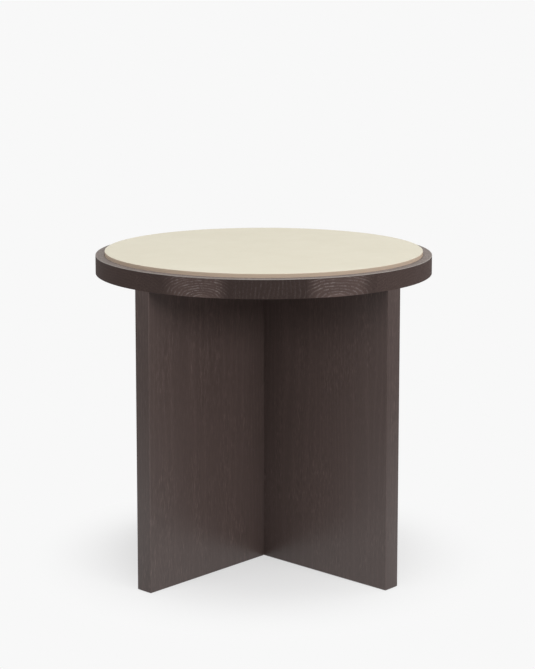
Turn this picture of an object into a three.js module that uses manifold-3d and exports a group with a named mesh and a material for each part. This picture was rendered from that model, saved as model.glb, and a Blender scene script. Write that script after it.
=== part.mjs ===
// Round side table with an inset disc on a crossed panel base.
// Millimetres, +Z up, front towards -Y. The origin is on the floor, under the middle of the table.
// The top is glued up from boards that run front to back, then turned round and recessed for the disc.
// Each base panel is glued up from upright boards. The two panels cross in a halving joint.

import * as THREE from 'three';
import { mergeVertices } from 'three/addons/utils/BufferGeometryUtils.js';
import Module from 'manifold-3d';

const wasm = await Module();
wasm.setup();

// Top
const TOP_DIAMETER = 550;
const TOP_THICKNESS = 30;
const BOARD_COUNT = 5;

// Inset disc and its recess, with a flat ring of the top left round it
const RING_WIDTH = 15;
const DISC_THICKNESS = 12;
const RECESS_DEPTH = 6;
const DISC_CLEARANCE = 0.3;

// Base panels
const PANEL_HEIGHT = 477;
const PANEL_THICKNESS = 30;
const HALVING_CLEARANCE = 0.3;
const HALVING_LEAD_IN = 2;

// Edges and joints between boards
const WOOD_ARRIS = 0.8;
const DISC_ARRIS = 0.6;
const GLUE_LINE = 0.1;
const SEAT_GAP = 0.1;

// Dowels between panels and top
const DOWEL_DIAMETER = 10;
const DOWEL_IN_PANEL = 22;
const DOWEL_IN_TOP = 14;
const DOWEL_CHAMFER = 1;
const DOWEL_CLEARANCE = 0.15;
const DOWEL_END_ROOM = 0.8;
const DOWEL_FROM_TIP = 75;

// Angle brackets under the top
const BRACKET_LEG = 26;
const BRACKET_WIDTH = 40;
const BRACKET_GAUGE = 2.5;
const BRACKET_BEND = 2;
const BRACKET_CORNER = 4;
const BRACKET_FROM_CROSSING = 50;
const BRACKET_HOLE_DIAMETER = 5;
const BRACKET_HOLE_SPACING = 20;
const BRACKET_HOLE_SETBACK = 15;
const BRACKET_SLOT_TRAVEL = 4;

// Pan head screws
const SCREW_LENGTH = 16;
const SCREW_DIAMETER = 3.6;
const SCREW_POINT = 4;
const SCREW_HEAD_DIAMETER = 8;
const SCREW_HEAD_HEIGHT = 2.6;
const SCREW_HEAD_RIM = 1;
const SCREW_RECESS_SPAN = 4.4;
const SCREW_RECESS_WIDTH = 1;
const SCREW_RECESS_DEPTH = 1.5;
const PILOT_CLEARANCE = 0.15;
const PILOT_END_ROOM = 0.8;

// Glides under the tips
const GLIDE_DIAMETER = 20;
const GLIDE_THICKNESS = 3;
const GLIDE_PROUD = 1;
const GLIDE_EDGE = 0.6;
const GLIDE_STEM_DIAMETER = 5;
const GLIDE_STEM_LENGTH = 12;
const GLIDE_STEM_POINT = 1.5;
const GLIDE_CLEARANCE = 0.2;
const GLIDE_FROM_TIP = 40;

// How far every cutting tool runs past the faces that it cuts
const OVERRUN = 5;

// Facets round a full circle
const RIM_SEGMENTS = 128;
const DOWEL_SEGMENTS = 24;
const GLIDE_SEGMENTS = 32;
const SCREW_SEGMENTS = 12;
const CORNER_SEGMENTS = 6;

// Angles
const QUARTER_TURN = Math.PI / 2;
const EIGHTH_TURN = Math.PI / 4;
const ARM_COUNT = 4;

// Sizes that follow from the ones above
const topRadius = TOP_DIAMETER / 2;
const boardWidth = TOP_DIAMETER / BOARD_COUNT;
const discRadius = topRadius - RING_WIDTH;
const recessRadius = discRadius + DISC_CLEARANCE;
const halfPanel = PANEL_THICKNESS / 2;
const underside = PANEL_HEIGHT + SEAT_GAP;
const dowelReach = topRadius - DOWEL_FROM_TIP;
const glideReach = topRadius - GLIDE_FROM_TIP;
const bracketReach = halfPanel + BRACKET_FROM_CROSSING + BRACKET_WIDTH / 2;
const bracketFace = halfPanel + SEAT_GAP;
const bracketTop = PANEL_HEIGHT;
const pilotRadius = SCREW_DIAMETER / 2 + PILOT_CLEARANCE;
const pilotDepth = SCREW_LENGTH + PILOT_END_ROOM;

// Materials
const darkOak = () => new THREE.MeshStandardMaterial({ color: 0x413632, roughness: 0.5, metalness: 0 });
const cream = () => new THREE.MeshStandardMaterial({ color: 0xe4dccb, roughness: 0.45, metalness: 0 });
const beech = () => new THREE.MeshStandardMaterial({ color: 0xc79f70, roughness: 0.7, metalness: 0 });
const zincSteel = () => new THREE.MeshStandardMaterial({ color: 0x8f9295, roughness: 0.4, metalness: 1 });
const blackSteel = () => new THREE.MeshStandardMaterial({ color: 0x2b2b2d, roughness: 0.5, metalness: 1 });
const nylon = () => new THREE.MeshStandardMaterial({ color: 0x2a2625, roughness: 0.6, metalness: 0 });

// A closed mesh as a solid that can be cut and joined
function solidOf(geometry) {
  const bare = geometry.clone();
  bare.deleteAttribute('normal');
  bare.deleteAttribute('uv');
  const merged = mergeVertices(bare);
  const corners = merged.index.array;
  const kept = [];
  for (let i = 0; i < corners.length; i += 3) {
    const [a, b, c] = [corners[i], corners[i + 1], corners[i + 2]];
    if (a !== b && b !== c && c !== a) kept.push(a, b, c);
  }
  return new wasm.Manifold(new wasm.Mesh({
    numProp: 3,
    vertProperties: new Float32Array(merged.attributes.position.array),
    triVerts: new Uint32Array(kept),
  }));
}

// A solid as a flat shaded mesh geometry
function geometryOf(solid) {
  const { vertProperties, triVerts } = solid.getMesh();
  const shared = new THREE.BufferGeometry();
  shared.setAttribute('position', new THREE.BufferAttribute(vertProperties, 3));
  shared.setIndex(new THREE.BufferAttribute(triVerts, 1));
  const faceted = shared.toNonIndexed();
  faceted.computeVertexNormals();
  return faceted;
}

const cutFrom = (solid, cutters) => cutters.reduce((left, cutter) => left.subtract(solidOf(cutter)), solid);

// A profile of [radius, height] pairs turned round the upright axis
function turned(profile, segments) {
  const points = profile.map(([radius, height]) => new THREE.Vector2(radius, height));
  return new THREE.LatheGeometry(points, segments).rotateX(QUARTER_TURN);
}

// A box given by its lowest and highest corner
function block(low, high) {
  const size = high.map((value, axis) => value - low[axis]);
  const middle = high.map((value, axis) => (value + low[axis]) / 2);
  return new THREE.BoxGeometry(...size).translate(...middle);
}

// A round bar along +Z from one height to another
function bar(radius, from, to, segments) {
  return turned([[0, from], [radius, from], [radius, to], [0, to]], segments);
}

// An outline drawn up along +Z from one height to another
function prism(outline, from, to) {
  const settings = { depth: to - from, bevelEnabled: false, curveSegments: CORNER_SEGMENTS };
  return new THREE.ExtrudeGeometry(outline, settings).translate(0, 0, from);
}

function named(name, geometry, material) {
  const mesh = new THREE.Mesh(geometry, material);
  mesh.name = name;
  return mesh;
}

// A glued up blank, parted along X into its boards with a glue line between them
function partedIntoBoards(blank) {
  const tall = PANEL_HEIGHT + TOP_THICKNESS + OVERRUN;
  const boards = [];
  for (let i = 0; i < BOARD_COUNT; i += 1) {
    const left = i * boardWidth - topRadius;
    const right = left + boardWidth;
    const from = i === 0 ? left - OVERRUN : left + GLUE_LINE / 2;
    const to = i === BOARD_COUNT - 1 ? right + OVERRUN : right - GLUE_LINE / 2;
    const strip = block([from, -topRadius - OVERRUN, -OVERRUN], [to, topRadius + OVERRUN, tall]);
    boards.push(blank.intersect(solidOf(strip)));
  }
  return boards;
}

// Holes that one arm of the base needs, in the arm's own frame: +X runs out along the arm, z = 0 is the
// lower edge of the panel. The same tools cut the panel and the top, so the holes line up.
const screwOffsets = [-BRACKET_HOLE_SPACING / 2, BRACKET_HOLE_SPACING / 2];

function armCutters() {
  const dowelHole = bar(
    DOWEL_DIAMETER / 2 + DOWEL_CLEARANCE,
    PANEL_HEIGHT - DOWEL_IN_PANEL - DOWEL_END_ROOM,
    underside + DOWEL_IN_TOP + DOWEL_END_ROOM,
    DOWEL_SEGMENTS,
  ).translate(dowelReach, 0, 0);

  const glideSeat = bar(
    GLIDE_DIAMETER / 2 + GLIDE_CLEARANCE,
    -OVERRUN,
    GLIDE_THICKNESS - GLIDE_PROUD + SEAT_GAP,
    GLIDE_SEGMENTS,
  ).translate(glideReach, 0, 0);
  const stemHole = bar(
    GLIDE_STEM_DIAMETER / 2 + GLIDE_CLEARANCE,
    -OVERRUN,
    GLIDE_THICKNESS - GLIDE_PROUD + GLIDE_STEM_LENGTH + PILOT_END_ROOM,
    DOWEL_SEGMENTS,
  ).translate(glideReach, 0, 0);

  const pilots = screwOffsets.flatMap((offset) => {
    const pilot = () => bar(pilotRadius, -BRACKET_GAUGE, pilotDepth - BRACKET_GAUGE, SCREW_SEGMENTS);
    const topPilot = pilot()
      .translate(bracketReach + offset, bracketFace + BRACKET_HOLE_SETBACK, bracketTop);
    const sidePilot = pilot()
      .rotateX(QUARTER_TURN)
      .translate(bracketReach + offset, bracketFace, bracketTop - BRACKET_HOLE_SETBACK);
    return [topPilot, sidePilot];
  });
  return [dowelHole, glideSeat, stemHole, ...pilots];
}

// The round top, recessed for the disc
function topBlank() {
  const rim = topRadius - WOOD_ARRIS;
  const profile = [
    [0, 0],
    [topRadius, 0],
    [topRadius, TOP_THICKNESS - WOOD_ARRIS],
    [rim, TOP_THICKNESS],
    [recessRadius, TOP_THICKNESS],
    [recessRadius, TOP_THICKNESS - RECESS_DEPTH],
    [0, TOP_THICKNESS - RECESS_DEPTH],
  ];
  const cutters = [];
  for (let arm = 0; arm < ARM_COUNT; arm += 1) {
    for (const cutter of armCutters()) {
      cutters.push(cutter.rotateZ(EIGHTH_TURN + arm * QUARTER_TURN).translate(0, 0, -underside));
    }
  }
  return cutFrom(solidOf(turned(profile, RIM_SEGMENTS)), cutters);
}

function insetDisc() {
  return turned([
    [0, 0],
    [discRadius, 0],
    [discRadius, DISC_THICKNESS - DISC_ARRIS],
    [discRadius - DISC_ARRIS, DISC_THICKNESS],
    [0, DISC_THICKNESS],
  ], RIM_SEGMENTS);
}

// Plan of a panel: two flat faces and two ends that follow the rim of the top, with eased upright edges
function panelPlan() {
  const endAngle = Math.asin((halfPanel - WOOD_ARRIS) / topRadius);
  const shoulder = topRadius * Math.cos(endAngle) - WOOD_ARRIS;
  const plan = new THREE.Shape();
  plan.moveTo(-shoulder, -halfPanel);
  plan.lineTo(shoulder, -halfPanel);
  plan.absarc(0, 0, topRadius, -endAngle, endAngle, false);
  plan.lineTo(shoulder, halfPanel);
  plan.lineTo(-shoulder, halfPanel);
  plan.absarc(0, 0, topRadius, Math.PI - endAngle, Math.PI + endAngle, false);
  plan.closePath();
  return plan;
}

// The slot of the halving joint: open at the lower edge, half the panel's height, flared at its mouth
function halvingCutter() {
  const halfSlot = halfPanel + HALVING_CLEARANCE;
  const slotTop = (PANEL_HEIGHT + HALVING_CLEARANCE) / 2;
  const flare = halfSlot + HALVING_LEAD_IN;
  const outline = new THREE.Shape();
  outline.moveTo(-flare, -OVERRUN);
  outline.lineTo(flare, -OVERRUN);
  outline.lineTo(flare, 0);
  outline.lineTo(halfSlot, HALVING_LEAD_IN);
  outline.lineTo(halfSlot, slotTop);
  outline.lineTo(-halfSlot, slotTop);
  outline.lineTo(-halfSlot, HALVING_LEAD_IN);
  outline.lineTo(-flare, 0);
  outline.closePath();
  return prism(outline, -halfPanel - OVERRUN, halfPanel + OVERRUN).rotateX(QUARTER_TURN);
}

// One panel with its two arms' holes. The slot opens downwards, or upwards on the panel that goes over.
function panelBlank(slotOpensUp) {
  const slot = halvingCutter();
  if (slotOpensUp) slot.rotateX(Math.PI).translate(0, 0, PANEL_HEIGHT);
  const holes = [0, Math.PI].flatMap((turn) => armCutters().map((cutter) => cutter.rotateZ(turn)));
  return cutFrom(solidOf(prism(panelPlan(), 0, PANEL_HEIGHT)), [slot, ...holes]);
}

function dowel() {
  const radius = DOWEL_DIAMETER / 2;
  const length = DOWEL_IN_PANEL + SEAT_GAP + DOWEL_IN_TOP;
  return turned([
    [0, 0],
    [radius - DOWEL_CHAMFER, 0],
    [radius, DOWEL_CHAMFER],
    [radius, length - DOWEL_CHAMFER],
    [radius - DOWEL_CHAMFER, length],
    [0, length],
  ], DOWEL_SEGMENTS);
}

// Glide with its stem: z = 0 is the face that meets the floor
function glide() {
  const radius = GLIDE_DIAMETER / 2;
  const stem = GLIDE_STEM_DIAMETER / 2;
  const stemTop = GLIDE_THICKNESS + GLIDE_STEM_LENGTH;
  return turned([
    [0, 0],
    [radius - GLIDE_EDGE, 0],
    [radius, GLIDE_EDGE],
    [radius, GLIDE_THICKNESS],
    [stem, GLIDE_THICKNESS],
    [stem, stemTop - GLIDE_STEM_POINT],
    [stem - GLIDE_STEM_POINT, stemTop],
    [0, stemTop],
  ], GLIDE_SEGMENTS);
}

// A hole through a bracket leg, drawn out along Y by its travel
function bracketHole(x, y, travel) {
  const radius = BRACKET_HOLE_DIAMETER / 2;
  const outline = new THREE.Shape();
  outline.absarc(x, y + travel / 2, radius, 0, Math.PI, false);
  outline.absarc(x, y - travel / 2, radius, Math.PI, 2 * Math.PI, false);
  outline.closePath();
  return prism(outline, -BRACKET_GAUGE - OVERRUN, OVERRUN);
}

// Plan of one leg with its two free corners rounded, from the bend line outwards along +Y
function legPlan() {
  const half = BRACKET_WIDTH / 2;
  const inner = half - BRACKET_CORNER;
  const far = BRACKET_LEG - BRACKET_CORNER;
  const plan = new THREE.Shape();
  plan.moveTo(-half, -OVERRUN);
  plan.lineTo(half, -OVERRUN);
  plan.lineTo(half, far);
  plan.absarc(inner, far, BRACKET_CORNER, 0, QUARTER_TURN, false);
  plan.absarc(-inner, far, BRACKET_CORNER, QUARTER_TURN, Math.PI, false);
  plan.closePath();
  return plan;
}

// Bent angle bracket. Its outer corner is the origin: one leg runs out along +Y under the top, the other
// hangs along -Z on the panel, and both are as wide as BRACKET_WIDTH along X.
function angleBracket() {
  const outerBend = BRACKET_BEND + BRACKET_GAUGE;
  const section = new THREE.Shape();
  section.moveTo(BRACKET_LEG, 0);
  section.lineTo(outerBend, 0);
  section.absarc(outerBend, -outerBend, outerBend, QUARTER_TURN, Math.PI, false);
  section.lineTo(0, -BRACKET_LEG);
  section.lineTo(BRACKET_GAUGE, -BRACKET_LEG);
  section.lineTo(BRACKET_GAUGE, -outerBend);
  section.absarc(outerBend, -outerBend, BRACKET_BEND, Math.PI, QUARTER_TURN, true);
  section.lineTo(BRACKET_LEG, -BRACKET_GAUGE);
  section.closePath();
  const alongArm = new THREE.Matrix4().makeBasis(
    new THREE.Vector3(0, 1, 0),
    new THREE.Vector3(0, 0, 1),
    new THREE.Vector3(1, 0, 0),
  );
  const bent = prism(section, -BRACKET_WIDTH / 2, BRACKET_WIDTH / 2).applyMatrix4(alongArm);

  // The leg plan rounds the free corners of both legs, once laid level and once set upright
  const level = prism(legPlan(), -BRACKET_LEG - OVERRUN, OVERRUN);
  const upright = prism(legPlan(), -OVERRUN, BRACKET_LEG + OVERRUN).rotateX(-QUARTER_TURN);
  const rounded = solidOf(bent).intersect(solidOf(level)).intersect(solidOf(upright));

  const holes = screwOffsets.flatMap((offset) => [
    bracketHole(offset, BRACKET_HOLE_SETBACK, BRACKET_SLOT_TRAVEL),
    bracketHole(offset, BRACKET_HOLE_SETBACK, 0).rotateX(-QUARTER_TURN),
  ]);
  return geometryOf(cutFrom(rounded, holes));
}

// Pan head screw with a cross recess: z = 0 is the underside of its head, and its point is at the top
function screw() {
  const shank = SCREW_DIAMETER / 2;
  const head = SCREW_HEAD_DIAMETER / 2;
  const turnedScrew = turned([
    [0, -SCREW_HEAD_HEIGHT],
    [head - SCREW_HEAD_RIM, -SCREW_HEAD_HEIGHT],
    [head, -SCREW_HEAD_RIM],
    [head, 0],
    [shank, 0],
    [shank, SCREW_LENGTH - SCREW_POINT],
    [0, SCREW_LENGTH],
  ], SCREW_SEGMENTS);
  const span = SCREW_RECESS_SPAN / 2;
  const width = SCREW_RECESS_WIDTH / 2;
  const low = -SCREW_HEAD_HEIGHT - OVERRUN;
  const floor = SCREW_RECESS_DEPTH - SCREW_HEAD_HEIGHT;
  const recess = block([-span, -width, low], [span, width, floor]);
  const crossed = recess.clone().rotateZ(QUARTER_TURN);
  return geometryOf(cutFrom(solidOf(turnedScrew), [recess, crossed]));
}

// The fixings of one arm, in the arm's frame
function armFixings(number) {
  const arm = new THREE.Group();

  const pin = named(`dowel_${number}`, dowel(), beech());
  pin.position.set(dowelReach, 0, PANEL_HEIGHT - DOWEL_IN_PANEL);
  arm.add(pin);

  const foot = named(`glide_${number}`, glide(), nylon());
  foot.position.set(glideReach, 0, -GLIDE_PROUD);
  arm.add(foot);

  const bracket = named(`angle_bracket_${number}`, angleBracket(), blackSteel());
  bracket.position.set(bracketReach, bracketFace, bracketTop);
  arm.add(bracket);

  screwOffsets.forEach((offset, i) => {
    const upScrew = named(`bracket_${number}_top_screw_${i + 1}`, screw(), zincSteel());
    upScrew.position.set(
      bracketReach + offset,
      bracketFace + BRACKET_HOLE_SETBACK,
      bracketTop - BRACKET_GAUGE - SEAT_GAP,
    );
    const sideScrew = named(`bracket_${number}_side_screw_${i + 1}`, screw(), zincSteel());
    sideScrew.rotation.x = QUARTER_TURN;
    sideScrew.position.set(
      bracketReach + offset,
      bracketFace + BRACKET_GAUGE + SEAT_GAP,
      bracketTop - BRACKET_HOLE_SETBACK,
    );
    arm.add(upScrew, sideScrew);
  });
  return arm;
}

// The base: two panels square to each other, and the fixings of four arms
function base() {
  const group = new THREE.Group();
  const panels = [
    { prefix: 'panel_a_board', slotOpensUp: false },
    { prefix: 'panel_b_board', slotOpensUp: true },
  ];
  panels.forEach(({ prefix, slotOpensUp }, turn) => {
    const panel = new THREE.Group();
    partedIntoBoards(panelBlank(slotOpensUp)).forEach((board, i) => {
      panel.add(named(`${prefix}_${i + 1}`, geometryOf(board), darkOak()));
    });
    panel.rotation.z = turn * QUARTER_TURN;
    group.add(panel);
  });
  for (let arm = 0; arm < ARM_COUNT; arm += 1) {
    const fixings = armFixings(arm + 1);
    fixings.rotation.z = arm * QUARTER_TURN;
    group.add(fixings);
  }
  group.rotation.z = EIGHTH_TURN;
  group.position.z = GLIDE_PROUD;
  return group;
}

// The top with its disc bedded in the recess
function top() {
  const group = new THREE.Group();
  partedIntoBoards(topBlank()).forEach((board, i) => {
    group.add(named(`top_board_${i + 1}`, geometryOf(board), darkOak()));
  });
  const disc = named('inset_disc', insetDisc(), cream());
  disc.position.z = TOP_THICKNESS - RECESS_DEPTH + SEAT_GAP;
  group.add(disc);
  group.position.z = GLIDE_PROUD + underside;
  return group;
}

const table = new THREE.Group();
table.name = 'round_side_table';
table.add(top(), base());

export default table;
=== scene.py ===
"""Round side table: a cream disc set into a dark oak top, on two oak panels that cross in a halving joint.

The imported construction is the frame. Every board, the disc and every fixing is made again here in its place,
with eased edges, smooth curves and a finish of its own. Lengths are metres, +Z is up and the front faces -Y.
"""

import math
import random

import bmesh
import bpy
from bpy.props import FloatProperty, FloatVectorProperty, IntProperty, PointerProperty
from mathutils import Matrix, Vector


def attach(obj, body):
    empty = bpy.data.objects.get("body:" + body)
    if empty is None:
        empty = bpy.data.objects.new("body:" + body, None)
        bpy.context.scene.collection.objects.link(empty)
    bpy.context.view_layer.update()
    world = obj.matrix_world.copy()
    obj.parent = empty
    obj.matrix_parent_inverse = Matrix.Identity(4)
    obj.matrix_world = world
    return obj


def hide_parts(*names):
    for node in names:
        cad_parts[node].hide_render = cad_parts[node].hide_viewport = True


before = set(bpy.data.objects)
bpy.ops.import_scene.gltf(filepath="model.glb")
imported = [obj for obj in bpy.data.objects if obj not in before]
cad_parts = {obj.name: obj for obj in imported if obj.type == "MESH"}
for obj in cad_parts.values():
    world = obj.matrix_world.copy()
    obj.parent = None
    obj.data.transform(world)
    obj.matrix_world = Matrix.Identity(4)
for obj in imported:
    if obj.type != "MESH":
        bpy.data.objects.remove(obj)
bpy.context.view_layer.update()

bl_info = {
    "name": "Round Side Table",
    "version": (1, 0, 0),
    "blender": (4, 5, 0),
    "location": "View3D > Sidebar > Side Table",
    "description": "Dresses a round oak side table with an inset disc and a crossed panel base",
    "category": "Add Mesh",
}

BODY = "root"
MM = 0.001

# How the boards and arms lie
BOARD_COUNT = 5
ARM_COUNT = 4
QUARTER_TURN = math.pi / 2
FULL_TURN = 2 * math.pi
ARM_TURN = math.pi / 4
PANEL_TURNS = {"a": ARM_TURN, "b": ARM_TURN + QUARTER_TURN}

# Joints and fixings that no box of the frame tells
SEAT_GAP = 0.1 * MM
HALVING_CLEARANCE = 0.3 * MM
HALVING_LEAD_IN = 2 * MM
DOWEL_CLEARANCE = 0.15 * MM
DISC_CLEARANCE = 0.3 * MM
HOLE_END_ROOM = 0.8 * MM
GLIDE_CLEARANCE = 0.2 * MM
GLIDE_THICKNESS = 3 * MM
GLIDE_STEM_RADIUS = 2.5 * MM
BRACKET_GAUGE = 2.5 * MM
BRACKET_BEND = 2 * MM
BRACKET_CORNER = 4 * MM
BRACKET_HOLE_RADIUS = 2.5 * MM
BRACKET_SLOT_TRAVEL = 4 * MM
BRACKET_ARRIS = 0.3 * MM
SCREW_HEAD_HEIGHT = 2.6 * MM
SCREW_SHANK_RADIUS = 1.45 * MM
SCREW_POINT_LENGTH = 4 * MM
PILOT_RADIUS = 1.95 * MM
OVERRUN = 5 * MM

# Mesh upkeep
MERGE_DISTANCE = 0.002 * MM
SAME_PLACE = 0.1 * MM
SHARP_ANGLE = math.radians(38)
CREASE_ANGLE = math.radians(50)


def extent(node, turn=0.0):
    """Lowest and highest corner of a CAD node, measured in a frame turned about the upright axis."""
    back = Matrix.Rotation(-turn, 3, "Z")
    points = [back @ vertex.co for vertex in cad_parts[node].data.vertices]
    low = Vector([min(point[axis] for point in points) for axis in range(3)])
    high = Vector([max(point[axis] for point in points) for axis in range(3)])
    return low, high


# Sizes that the frame gives
MIDDLE_BOARD = extent("top_board_3")
DISC = extent("inset_disc")
PANEL = extent("panel_a_board_3", ARM_TURN)
RIM_RADIUS = MIDDLE_BOARD[1].y
TOP_LOW = MIDDLE_BOARD[0].z
TOP_HIGH = MIDDLE_BOARD[1].z
TOP_MIDDLE = (TOP_LOW + TOP_HIGH) / 2
DISC_RADIUS = DISC[1].y
RECESS_RADIUS = DISC_RADIUS + DISC_CLEARANCE
RECESS_FLOOR = DISC[0].z - SEAT_GAP
PANEL_LOW = PANEL[0].z
PANEL_HIGH = TOP_LOW
HALF_PANEL = PANEL[1].y
BOARD_WIDTH = 2 * RIM_RADIUS / BOARD_COUNT
HALVING_HEIGHT = (PANEL[0].z + PANEL[1].z) / 2


# Finishes

class Wire:
    """A socket that takes part in sums: an expression on it adds its Math nodes."""

    def __init__(self, nodes, socket):
        self.nodes = nodes
        self.socket = socket

    def sum(self, operation, *values):
        return self.nodes.math(operation, *values)

    def __add__(self, other):
        return self.sum("ADD", self, other)

    def __radd__(self, other):
        return self.sum("ADD", other, self)

    def __sub__(self, other):
        return self.sum("SUBTRACT", self, other)

    def __rsub__(self, other):
        return self.sum("SUBTRACT", other, self)

    def __mul__(self, other):
        return self.sum("MULTIPLY", self, other)

    def __rmul__(self, other):
        return self.sum("MULTIPLY", other, self)

    def __truediv__(self, other):
        return self.sum("DIVIDE", self, other)

    def __pow__(self, other):
        return self.sum("POWER", self, other)

    def __abs__(self):
        return self.sum("ABSOLUTE", self)

    def fraction(self):
        return self.sum("FRACT", self)

    def root(self):
        return self.sum("SQRT", self)

    def at_least(self, other):
        return self.sum("MAXIMUM", self, other)

    def at_most(self, other):
        return self.sum("MINIMUM", self, other)

    def rising(self, start, end):
        """0 below start, 1 above end and a smooth rise between them."""
        settings = {"interpolation_type": "SMOOTHSTEP"}
        return self.nodes.node("ShaderNodeMapRange", settings, {0: self, 1: start, 2: end})

    def lifted(self, least):
        """The same pattern, running from a least value up to 1."""
        return least + (1 - least) * self


class Nodes:
    """The node tree of a material or of the world."""

    def __init__(self, owner):
        owner.use_nodes = True
        self.tree = owner.node_tree
        self.tree.nodes.clear()

    def node(self, kind, settings=None, values=None, output=0):
        """Adds a node, sets it up, then gives its sockets their values or links, and returns one output."""
        made = self.tree.nodes.new(kind)
        for key, value in (settings or {}).items():
            setattr(made, key, value)
        for key, value in (values or {}).items():
            if isinstance(value, Wire):
                self.tree.links.new(value.socket, made.inputs[key])
            else:
                made.inputs[key].default_value = value
        return Wire(self, made.outputs[output])

    def math(self, operation, *values):
        return self.node("ShaderNodeMath", {"operation": operation}, dict(enumerate(values)))

    def end_in(self, shader, kind="ShaderNodeOutputMaterial"):
        """Links a shader to the output of the tree."""
        made = self.tree.nodes.new(kind)
        self.tree.links.new(shader.socket, made.inputs["Surface"])


class Finish(Nodes):
    """A material, with the patterns that the finishes share."""

    def __init__(self, name):
        self.material = bpy.data.materials.new(name)
        super().__init__(self.material)

    def mixed(self, share, first, second):
        """A colour between two others."""
        return self.node("ShaderNodeMix", {"data_type": "RGBA"}, {0: share, 6: first, 7: second}, 2)

    def scaled(self, colour, level):
        """A colour times a level."""
        return self.node("ShaderNodeVectorMath", {"operation": "SCALE"}, {0: colour, "Scale": level})

    def placed(self, turn=(0, 0, 0), shift=(0, 0, 0), scale=(1, 1, 1), vector=None):
        """Object coordinates, or another vector, scaled, turned and then shifted."""
        vector = vector or self.node("ShaderNodeTexCoord", output="Object")
        values = {"Vector": vector, "Location": shift, "Rotation": turn, "Scale": scale}
        return self.node("ShaderNodeMapping", {"vector_type": "POINT"}, values)

    def split(self, vector):
        return [self.node("ShaderNodeSeparateXYZ", None, {0: vector}, axis) for axis in range(3)]

    def noise(self, vector, detail=2.0, roughness=0.5):
        values = {"Vector": vector, "Scale": 1.0, "Detail": detail, "Roughness": roughness}
        return self.node("ShaderNodeTexNoise", None, values)

    def grained(self, density, detail=2.0, roughness=0.5):
        """Noise with so many grains to the metre along X, Y and Z."""
        return self.noise(self.placed(scale=density), detail, roughness)

    def cells(self, vector):
        """Distance to the middle of the nearest of many scattered cells."""
        return self.node("ShaderNodeTexVoronoi", {"feature": "F1"}, {"Vector": vector, "Scale": 1.0})

    def facing(self):
        """The direction that the surface faces."""
        return self.node("ShaderNodeNewGeometry", output="True Normal")

    def facing_up(self):
        """1 where the surface faces up, 0 where it is upright, -1 where it faces down."""
        return self.split(self.facing())[2]

    def cut_across(self, direction):
        """1 where the surface faces along a direction or against it, 0 where it lies along it."""
        values = {0: self.facing(), 1: direction}
        return abs(self.node("ShaderNodeVectorMath", {"operation": "DOT_PRODUCT"}, values, "Value"))

    def bump(self, height, depth, strength):
        return self.node("ShaderNodeBump", None, {"Height": height, "Distance": depth, "Strength": strength})

    def close(self, values):
        """Ends the tree in a Principled shader with these sockets."""
        self.end_in(self.node("ShaderNodeBsdfPrincipled", None, values))
        return self.material


def rgba(colour):
    return (*colour, 1.0)


def grey(level):
    return rgba((level, level, level))


# Thickness of the oak's threads, and their length along the grain
OAK_THREADS = {
    "wander": (55 * MM, 600 * MM),
    "ripple": (12 * MM, 170 * MM),
    "breaks": (5 * MM, 40 * MM),
    "fine_breaks": (1.6 * MM, 40 * MM),
    "patches": (17 * MM, 200 * MM),
    "streaks": (2.4 * MM, 110 * MM),
    "clouds": (110 * MM, 450 * MM),
    "open_grain": (50 * MM, 170 * MM),
}
THREAD_ROUGHNESS = 0.6

# Between which values each pattern and each kind of face of the oak fades in
OAK_RISES = {
    "ring_reach": (0.45, 1.05),
    "breaks": (0.4, 0.62),
    "patches": (0.36, 0.6),
    "open_grain": (0.42, 0.62),
    "dashes": (0.52, 0.78),
    "pores": (0.12, 0.34),
    "pith": (3 * MM, 12 * MM),
    "above_foot": (60 * MM, 360 * MM),
    "end_face": (0.72, 1.0),
    "edge_face": (0.85, 0.97),
    "edge_arris_painted_highlight": (0.15, 0.3),
    "upward_face": (0.6, 0.95),
    "top_arris_painted_highlight": (0.12, 0.3),
}
RING_START_BLUR = 2 * MM

# How much each pattern of the oak counts
OAK_SHARES = {
    "breaks": 0.6,
    "fine_breaks": 0.4,
    "least_line": 0.3,
    "least_pore": 0.35,
    "closed_grain": 0.4,
    "mean_ring": 0.3,
    "lost_edge_coat": 0.15,
    "stroke_roughness": 0.12,
    "pore_roughness": 0.08,
    "stroke_height": 0.4,
    "ring_height": 0.3,
    "bump": 0.6,
}
OAK_PORES = (1100, 1100, 70)


def growth_rings(oak, place, threads, finish, board):
    """Rings round the pith, flatter on one side than on the other, wandering slowly along the grain. Returns
    the distance from the pith, the ring pattern, and a nearness of 1 that falls to 0 at the rings' reach."""
    across, through, _ = oak.split(place)
    seed = board["seed"]
    wander = (threads(OAK_THREADS["wander"], seed, 1.0) - 0.5) * board["wander"]
    ripple = (threads(OAK_THREADS["ripple"], 3 * seed) - 0.5) * finish.ring_ripple
    sideways = across - board["pith"][0]
    left = (0 - sideways).at_least(0)
    right = sideways.at_least(0)
    level = left * board["steepness"][0] + right * board["steepness"][1]
    upward = through - board["pith"][1]
    radius = (level ** 2 + upward ** 2).root() + wander + ripple
    phase = (radius / board["ring_spacing"]).fraction()
    ring = (1 - abs(phase * 2 - 1)) ** finish.ring_sharpness
    spread = left / board["ring_reach"][0] + right / board["ring_reach"][1]
    return radius, ring, 1 - spread.rising(*OAK_RISES["ring_reach"])


def ring_lines(threads, radius, ring, nearness, board):
    """The ring pattern as broken lines, stronger in patches and fading away from the pith."""
    seed = board["seed"]
    coarse = threads(OAK_THREADS["breaks"], seed) * OAK_SHARES["breaks"]
    fine = threads(OAK_THREADS["fine_breaks"], 2 * seed) * OAK_SHARES["fine_breaks"]
    breaks = (coarse + fine).rising(*OAK_RISES["breaks"])
    patches = threads(OAK_THREADS["patches"], 5 * seed).rising(*OAK_RISES["patches"])
    start = board["ring_start"]
    outside = radius.rising(start / 2, start + RING_START_BLUR)
    return ring * breaks * patches.lifted(OAK_SHARES["least_line"]) * nearness * outside


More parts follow.
